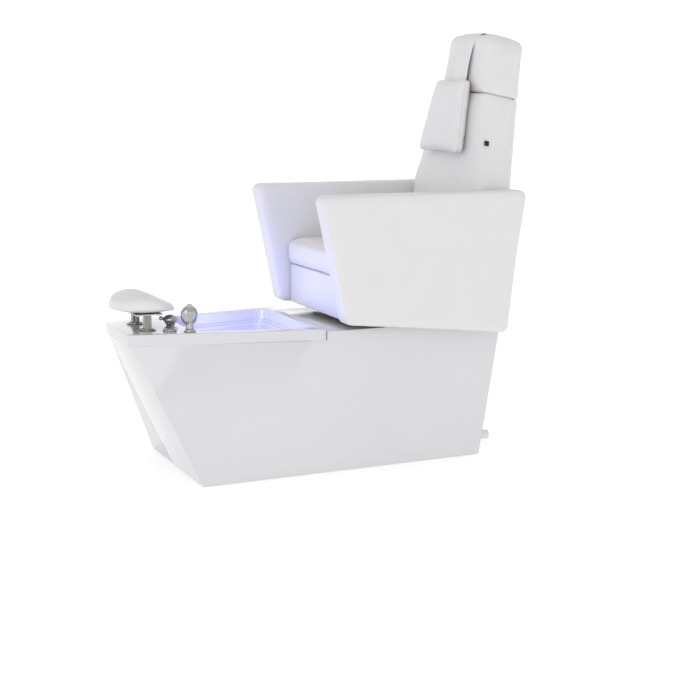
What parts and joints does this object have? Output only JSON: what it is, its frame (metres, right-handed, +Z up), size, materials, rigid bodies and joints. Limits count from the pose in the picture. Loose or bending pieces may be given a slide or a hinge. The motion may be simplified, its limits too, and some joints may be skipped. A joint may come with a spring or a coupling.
{
  "type": "pedicure spa chair",
  "caption": "Upholstered salon chair that slides and reclines above a faceted gloss plinth with a lit foot basin, padded footrest, mixer tap and hand shower.",
  "frame": {"origin": "centre of the base plate underside on the floor, under the front of the seat", "axes": "+Z up, the sitter faces -Y, +X is the sitter's left"},
  "size_m": [0.7, 1.4516, 1.4506],
  "materials": {
    "plate_steel": "galvanised, dull",
    "shell": "high gloss white moulding",
    "basin_acrylic": "glossy pale acrylic",
    "led": "lit blue diffuser",
    "pale_plastic": "satin",
    "grey_plastic": "satin",
    "black_plastic": "satin",
    "chrome": "polished",
    "dark_chrome": "dark polished",
    "pipe_metal": "dull",
    "steel": "satin",
    "black_steel": "black powder coat",
    "plywood": "raw plywood",
    "white_leather": "smooth white artificial leather",
    "bronze": "sintered",
    "button_face": "greenish tinted",
    "rubber": "matt",
    "tag": "woven black, blank"
  },
  "bodies": {
    "chair_base": {"base_plate": "plate_steel", "base_frame": "black_steel", "plinth_shell": "shell", "deck_rim": "shell", "basin": "basin_acrylic", "led_strip": "led", "jet_nozzles": "chrome", "jet_pump": "grey_plastic", "jet_pipes": "pale_plastic", "drain_strainer": "chrome", "drain_pipe": "grey_plastic", "drain_spigot": "pale_plastic", "water_inlets": "chrome", "supply_pipes": "pipe_metal", "control_box": "grey_plastic", "power_inlet": "black_plastic", "access_panel": "shell", "panel_screws": "steel", "post_sleeves": "dark_chrome", "mixer_base": "chrome", "shower_holder": "chrome", "button_bezel": "chrome", "button_bellows": "rubber", "lower_rails": "steel", "glide_strips": "pale_plastic", "slide_actuator": "grey_plastic"},
    "stopper": {"drain_plug": "chrome"},
    "mixer_swivel": {"mixer_cap": "chrome"},
    "mixer_handle": {"mixer_lever": "chrome"},
    "shower": {"hand_shower": "chrome", "shower_face": "pale_plastic"},
    "air_button": {"button_cap": "button_face"},
    "seat": {"actuator_rod": "steel", "upper_rails": "steel", "seat_base": "black_steel", "seat_frame": "black_steel", "seat_pan": "plywood", "seat_cushion": "white_leather", "apron": "white_leather", "left_arm": "white_leather", "right_arm": "white_leather", "rear_panel": "white_leather", "hinge_bushes": "bronze", "recliner_motor": "grey_plastic"},
    "backrest": {"recliner_shaft": "steel", "back_board": "plywood", "back_cushion": "white_leather", "back_cover": "white_leather", "headrest_cushion": "white_leather", "headrest_cover": "white_leather", "blank_tag": "tag", "pillow_strap": "white_leather"},
    "pillow": {"neck_pillow": "white_leather"},
    "pillow_weight": {"counterweight": "white_leather"},
    "footrest": {"foot_posts": "dark_chrome", "foot_plate": "steel", "pad_screws": "steel", "foot_pad": "white_leather"}
  },
  "joints": [
    {"name": "seat_slide", "type": "slide", "parent": "chair_base", "child": "seat", "axis": [0, 1, 0], "range_m": [-0.08, 0.06]},
    {"name": "recline", "type": "hinge", "parent": "seat", "child": "backrest", "pos_m": [0, 0.49, 0.615], "axis": [-1, 0, 0], "range_deg": [0, 35]},
    {"name": "pillow_height", "type": "slide", "parent": "backrest", "child": "pillow", "axis": [0, -0.2079, -0.9781], "range_m": [0, 0.05]},
    {"name": "weight_travel", "type": "slide", "parent": "backrest", "child": "pillow_weight", "axis": [0, 0.2079, 0.9781], "range_m": [0, 0.05]},
    {"name": "footrest_height", "type": "slide", "parent": "chair_base", "child": "footrest", "axis": [0, 0, 1], "range_m": [0, 0.08]},
    {"name": "mixer_turn", "type": "hinge", "parent": "chair_base", "child": "mixer_swivel", "pos_m": [0.067, -0.537, 0.5], "axis": [0, 0, 1], "range_deg": [-45, 45]},
    {"name": "mixer_lift", "type": "hinge", "parent": "mixer_swivel", "child": "mixer_handle", "pos_m": [0.067, -0.537, 0.5162], "axis": [-1, 0, 0], "range_deg": [0, 20]},
    {"name": "shower_pull", "type": "slide", "parent": "chair_base", "child": "shower", "axis": [0, 0, 1], "range_m": [0, 0.25]},
    {"name": "stopper_lift", "type": "slide", "parent": "chair_base", "child": "stopper", "axis": [0, 0, 1], "range_m": [0, 0.03]},
    {"name": "air_button_press", "type": "slide", "parent": "chair_base", "child": "air_button", "axis": [0, 0, -1], "range_m": [0, 0.003], "stiffness_N_per_m": 400, "deforming": ["button_bellows"]}
  ],
  "couplings": [
    {"joint": "weight_travel", "follows": "pillow_height", "ratio": 1}
  ]
}
